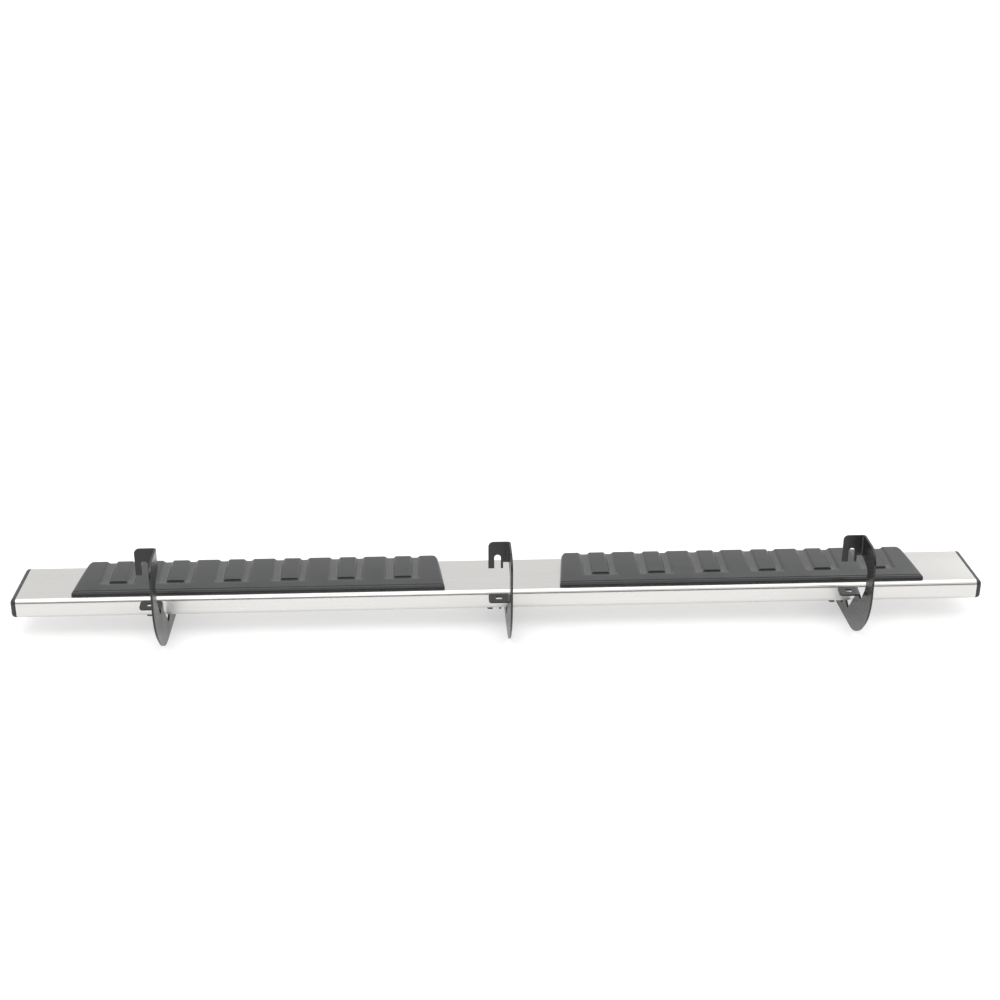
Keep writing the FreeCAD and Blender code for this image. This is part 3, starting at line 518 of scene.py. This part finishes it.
def turned(mesh, place, profile, steps):
    """Closed solid turned about an upright axis from (radius, height) points. A point with a third value is
    drawn out by that share towards a hexagon: 0 is round, 1 is a full hexagon of that radius to its flats."""
    rings = []
    for point in profile:
        radius, height = point[:2]
        share = point[2] if len(point) > 2 else 0
        ring = []
        for step in range(steps):
            angle = 2 * math.pi * step / steps
            from_flat = angle % (math.pi / 3) - math.pi / 6
            hexagon = 1 / math.cos(from_flat)
            reach = radius * (1 + share * (hexagon - 1))
            x = place.x + reach * math.cos(angle)
            y = place.y + reach * math.sin(angle)
            ring.append(mesh.verts.new((x, y, place.z + height)))
        rings.append(ring)
    for lower, upper in zip(rings, rings[1:] + rings[:1]):
        for step in range(steps):
            after = (step + 1) % steps
            mesh.faces.new((lower[step], lower[after], upper[after], upper[step]))


def threads(start, end, inward):
    """Thread between two heights: grooves in a shank where inward is 1, in a bore's wall where it is -1."""
    points = []
    for turn in range(int((end - start) / THREAD_PITCH)):
        low = start + turn * THREAD_PITCH
        for share, cut in THREAD_SHAPE:
            points.append((BOLT_RADIUS - cut * inward * THREAD_DEPTH, low + THREAD_PITCH * share))
    points.append((BOLT_RADIUS, end))
    return points


def fastener_places(node, station):
    """Centre of each of a group's two fasteners, at the level of their undersides, and the group's height."""
    low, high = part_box(node)
    bolt_low, bolt_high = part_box("t_bolts_" + station)
    half_head = HEAD_SIZE[1] / 2 * MM
    middle = (low.x + high.x) / 2
    places = [Vector((middle, y, low.z)) for y in (bolt_low.y + half_head, bolt_high.y - half_head)]
    return places, high.z - low.z


def finish_fasteners(mesh, node, station):
    """Close a group's mesh and hand it over as the piece that stands for the group."""
    bmesh.ops.remove_doubles(mesh, verts=mesh.verts, dist=FINE_WELD)
    bmesh.ops.recalc_face_normals(mesh, faces=mesh.faces)
    data = bpy.data.meshes.new("turned_" + node)
    mesh.to_mesh(data)
    mesh.free()
    smooth(data, sharp_degrees=35)
    new_piece("turned_" + node, data, "zinc", "bolt_set_" + station, node)


def t_bolts(station):
    """T-headed bolts: a bevelled block head in the rail and a threaded shank below it."""
    node = "t_bolts_" + station
    places, height = fastener_places(node, station)
    head = Vector(HEAD_SIZE) * MM
    under_head = height - head.z
    shank = [(AXIS, 0), (BOLT_RADIUS - BOLT_POINT, 0), (BOLT_RADIUS, BOLT_POINT)]
    shank += threads(THREAD_START, THREAD_END, 1)
    shank += [(BOLT_RADIUS, under_head + HEAD_OVERLAP), (AXIS, under_head + HEAD_OVERLAP)]
    mesh = bmesh.new()
    for place in places:
        turned(mesh, place, shank, SHANK_STEPS)
        centre = place + Vector((0, 0, under_head + head.z / 2))
        matrix = Matrix.Translation(centre) @ Matrix.Diagonal((*head, 1))
        block = bmesh.ops.create_cube(mesh, size=1.0, matrix=matrix)
        edges = list(dict.fromkeys(edge for vert in block["verts"] for edge in vert.link_edges))
        bmesh.ops.bevel(mesh, geom=edges, offset=HEAD_BREAK, segments=2, profile=0.5, affect="EDGES")
    finish_fasteners(mesh, node, station)


def washers(station):
    """Wide punched washers, with every edge slightly chamfered."""
    node = "washers_" + station
    places, height = fastener_places(node, station)
    outer, inner, edge = WASHER_RADIUS, WASHER_BORE, WASHER_EDGE
    profile = [(inner + edge, 0), (outer - edge, 0), (outer, edge), (outer, height - edge),
               (outer - edge, height), (inner + edge, height), (inner, height - edge), (inner, edge)]
    mesh = bmesh.new()
    for place in places:
        turned(mesh, place, profile, WASHER_STEPS)
    finish_fasteners(mesh, node, station)


def flange_nuts(station):
    """Hexagon nuts under a sloping round flange, chamfered below and threaded inside."""
    node = "flange_nuts_" + station
    places, height = fastener_places(node, station)
    underside = [(BOLT_RADIUS + 0.5 * MM, 0), (NUT_FLAT - 0.1 * MM, 0)]
    hexagon = [(NUT_FLAT, 0.4 * MM, 0.35), (NUT_FLAT, 1.1 * MM, 1), (NUT_FLAT, height - 2.6 * MM, 1),
               (NUT_FLAT + 0.3 * MM, height - 2.2 * MM, 0.6)]
    flange = [(NUT_FLANGE - 0.2 * MM, height - 0.9 * MM), (NUT_FLANGE, height - 0.6 * MM),
              (NUT_FLANGE, height - 0.1 * MM), (NUT_FLANGE - 0.2 * MM, height),
              (BOLT_RADIUS + 0.4 * MM, height)]
    bore = list(reversed(threads(0.6 * MM, height - 0.4 * MM, -1)))
    mesh = bmesh.new()
    for place in places:
        turned(mesh, place, underside + hexagon + flange + bore, NUT_STEPS)
    finish_fasteners(mesh, node, station)


# ---------------------------------------------------------------- stage, light and camera

FLOOR_REACH = 40.0


def floor():
    """Plain pale studio floor under the brackets' bottom edges, slightly self-lit like a light table."""
    mesh = bpy.data.meshes.new("studio_floor")
    corners = [(x * FLOOR_REACH, y * FLOOR_REACH, 0) for x, y in ((-1, -1), (1, -1), (1, 1), (-1, 1))]
    mesh.from_pydata(corners, [], [(0, 1, 2, 3)])
    piece = bpy.data.objects.new("studio_floor", mesh)
    bpy.context.scene.collection.objects.link(piece)
    paper = Shader("studio_paper", Roughness=0.9, Specular_IOR_Level=0.1,
                   Emission_Color=(1, 1, 1, 1), Emission_Strength=0.5)
    mottle = paper.noise(3)
    paper.feed("Base Color", paper.tones(mottle, (0.55, 0.55, 0.55), (0.58, 0.58, 0.58)))
    mesh.materials.append(paper.material)


def grey_ramp(tree, source, stops):
    """Grey that follows a value through (position, grey) stops."""
    ramp = tree.nodes.new("ShaderNodeValToRGB")
    while len(ramp.color_ramp.elements) < len(stops):
        ramp.color_ramp.elements.new(0.5)
    for element, (position, grey) in zip(ramp.color_ramp.elements, stops):
        element.position = position
        element.color = (grey, grey, grey, 1)
    tree.links.new(source, ramp.inputs["Fac"])
    return ramp.outputs["Color"]


# How grey the surroundings are by height, from 0 at eye level to 1 overhead, as (height, grey).
OPEN_SIDE = ((0.0, 0.80), (0.25, 0.95), (0.42, 1.05), (0.57, 0.75), (0.75, 0.95), (0.9, 2.0))
CARD_SIDE = ((0.0, 0.06), (0.30, 0.08), (0.44, 0.95), (0.75, 0.95), (0.9, 2.0))
CARD_EDGE = ((0.15, 0.0), (0.45, 1.0))     # from the open side to the card's, by how far towards the vehicle


def studio_world():
    """White surroundings: brightest overhead, with a low dark card on the vehicle side, which draws the thin
    dark line along the steel's upper edge."""
    world = bpy.data.worlds.new("studio")
    bpy.context.scene.world = world
    world.use_nodes = True
    tree = world.node_tree
    background = tree.nodes["Background"]
    place = tree.nodes.new("ShaderNodeTexCoord")
    split = tree.nodes.new("ShaderNodeSeparateXYZ")
    tree.links.new(place.outputs["Generated"], split.inputs["Vector"])
    height = split.outputs["Z"]
    behind = grey_ramp(tree, height, OPEN_SIDE)
    carded = grey_ramp(tree, height, CARD_SIDE)
    side = grey_ramp(tree, split.outputs["Y"], CARD_EDGE)
    around = tree.nodes.new("ShaderNodeMix")
    around.data_type = "RGBA"
    tree.links.new(side, around.inputs["Factor"])
    tree.links.new(behind, around.inputs["A"])
    tree.links.new(carded, around.inputs["B"])
    path = tree.nodes.new("ShaderNodeLightPath")
    seen = tree.nodes.new("ShaderNodeMix")
    seen.data_type = "RGBA"
    seen.inputs["B"].default_value = (1, 1, 1, 1)
    tree.links.new(path.outputs["Is Camera Ray"], seen.inputs["Factor"])
    tree.links.new(around.outputs["Result"], seen.inputs["A"])
    tree.links.new(seen.outputs["Result"], background.inputs["Color"])
    background.inputs["Strength"].default_value = 1.0


LIGHT_AIM = Vector((0, 0, 0.08))


def soft_light(name, place, size, power):
    """Large soft lamp that points at the middle of the board."""
    light = bpy.data.lights.new(name, "AREA")
    light.shape = "RECTANGLE"
    light.size, light.size_y = size
    light.energy = power
    lamp = bpy.data.objects.new(name, light)
    lamp.location = place
    lamp.rotation_euler = (LIGHT_AIM - Vector(place)).to_track_quat("-Z", "Y").to_euler()
    bpy.context.scene.collection.objects.link(lamp)


CAMERA_PLACE = Vector((0.149, 2.8305, 1.4695))
CAMERA_YAW = math.radians(2.90)
CAMERA_PITCH = math.radians(22.82)
CAMERA_ROLL = math.radians(0.12)
CAMERA_LENS = 57.25
CAMERA_SENSOR = 36.0


def camera():
    """Looks at the vehicle side of the board from a little above, as from standing height."""
    forward = Vector((-math.sin(CAMERA_YAW) * math.cos(CAMERA_PITCH),
                      -math.cos(CAMERA_YAW) * math.cos(CAMERA_PITCH), -math.sin(CAMERA_PITCH)))
    level = Vector((-math.cos(CAMERA_YAW), math.sin(CAMERA_YAW), 0))
    upright = level.cross(forward)
    right = level * math.cos(CAMERA_ROLL) + upright * math.sin(CAMERA_ROLL)
    up = upright * math.cos(CAMERA_ROLL) - level * math.sin(CAMERA_ROLL)
    turn = Matrix((right, up, -forward)).transposed().to_4x4()
    data = bpy.data.cameras.new("camera")
    data.lens = CAMERA_LENS
    data.sensor_width = CAMERA_SENSOR
    viewer = bpy.data.objects.new("camera", data)
    viewer.matrix_world = Matrix.Translation(CAMERA_PLACE) @ turn
    bpy.context.scene.collection.objects.link(viewer)
    bpy.context.scene.camera = viewer


dress_cad_nodes()
for pad_side in ("left", "right"):
    step_pad("step_pad_" + pad_side)
for station_name in STATIONS:
    bracket(station_name)
    t_bolts(station_name)
    washers(station_name)
    flange_nuts(station_name)
floor()
studio_world()
soft_light("key", place=(1.2, 1.8, 3.2), size=(2.4, 1.6), power=26)
soft_light("fill", place=(-2.4, -1.6, 2.2), size=(2.0, 1.4), power=16)
camera()
bpy.context.scene.view_settings.view_transform = "Standard"
